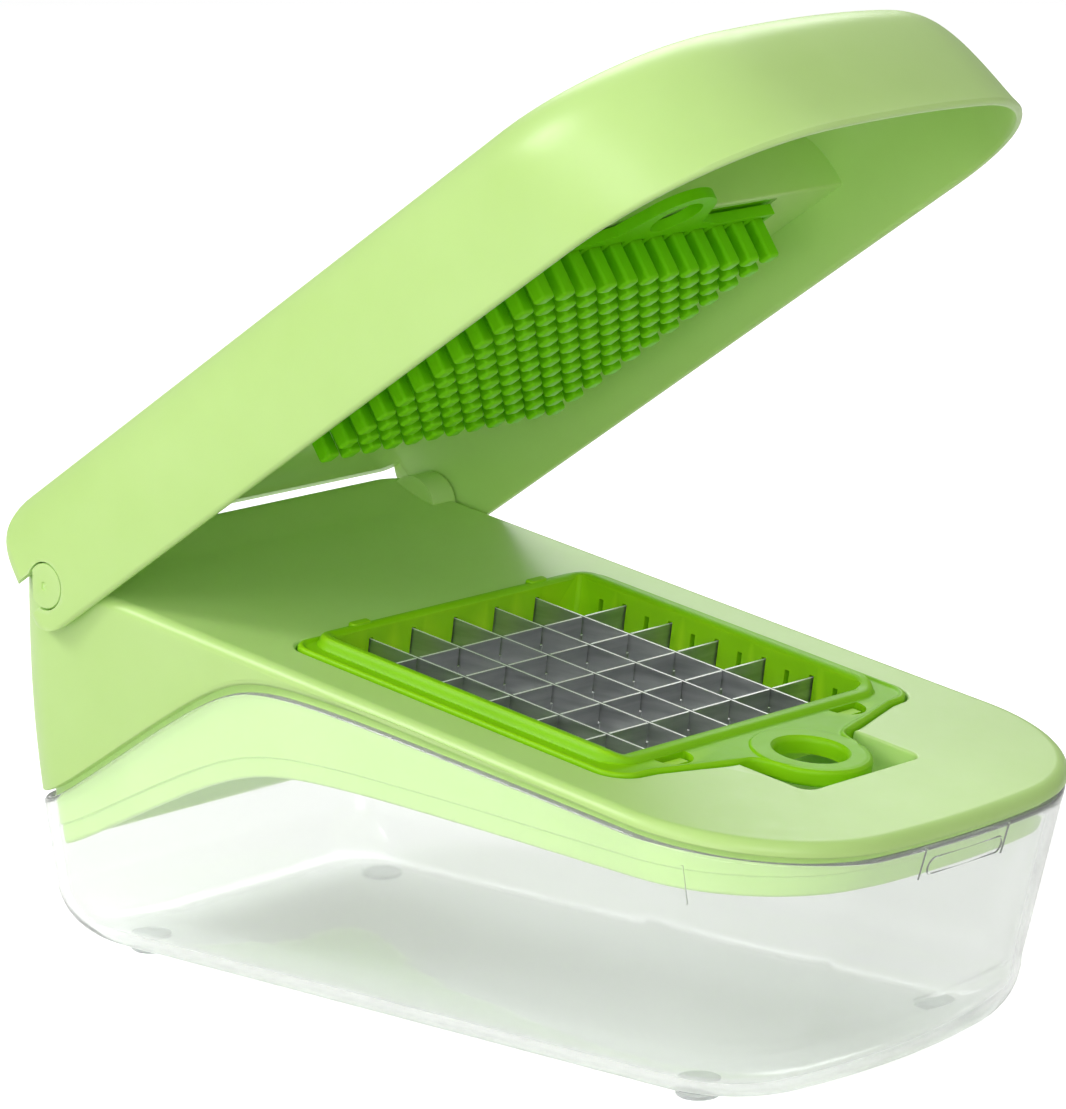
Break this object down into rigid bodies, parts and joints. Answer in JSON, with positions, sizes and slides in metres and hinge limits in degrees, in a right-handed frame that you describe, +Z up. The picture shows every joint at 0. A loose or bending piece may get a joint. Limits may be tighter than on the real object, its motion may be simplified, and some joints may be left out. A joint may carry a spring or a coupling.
{
  "type": "vegetable dicer",
  "caption": "Hand-press vegetable dicer: a hinged lid presses food through a lift-out grid of crossed blades into a clear catch container.",
  "frame": {"origin": "on the resting plane, under the middle of the blade grid", "axes": "+X from the hinge to the nose, +Y to the far side, +Z up; at rest the lid stands open"},
  "size_m": [0.1985, 0.1144, 0.1929],
  "materials": {
    "clear_plastic": "clear, polished",
    "foot_plastic": "clear, lightly frosted",
    "pastel_green_plastic": "pastel green, satin",
    "bright_green_plastic": "bright green, satin",
    "stainless_steel": "ground and polished edges"
  },
  "bodies": {
    "container": {"container": "clear_plastic", "foot_1": "foot_plastic", "foot_2": "foot_plastic", "foot_3": "foot_plastic", "foot_4": "foot_plastic"},
    "base": {"base_body": "pastel_green_plastic", "hinge_pin_near": "pastel_green_plastic", "hinge_pin_far": "pastel_green_plastic"},
    "lid": {"lid_shell": "pastel_green_plastic"},
    "insert": {"insert_upper_frame": "bright_green_plastic", "insert_lower_frame": "bright_green_plastic", "blade_long_1": "stainless_steel", "blade_long_2": "stainless_steel", "blade_long_3": "stainless_steel", "blade_long_4": "stainless_steel", "blade_long_5": "stainless_steel", "blade_cross_1": "stainless_steel", "blade_cross_2": "stainless_steel", "blade_cross_3": "stainless_steel", "blade_cross_4": "stainless_steel", "blade_cross_5": "stainless_steel"},
    "pusher": {"pusher_plate": "bright_green_plastic"},
    "cleaning_grid": {"cleaning_grid": "bright_green_plastic"}
  },
  "joints": [
    {"name": "base_lift", "type": "slide", "parent": "container", "child": "base", "axis": [0, 0, 1], "range_m": [0, 0.05]},
    {"name": "lid_hinge", "type": "hinge", "parent": "base", "child": "lid", "pos_m": [-0.0916, 0, 0.0769], "axis": [0, -1, 0], "range_deg": [-40.3, 25]},
    {"name": "insert_lift", "type": "slide", "parent": "base", "child": "insert", "axis": [0.1478, 0, 0.989], "range_m": [0, 0.022]},
    {"name": "pusher_slide", "type": "slide", "parent": "lid", "child": "pusher", "axis": [0.5563, 0, -0.831], "range_m": [0, 0.01]},
    {"name": "grid_slide", "type": "slide", "parent": "pusher", "child": "cleaning_grid", "axis": [0.5563, 0, -0.831], "range_m": [0, 0.006]}
  ]
}
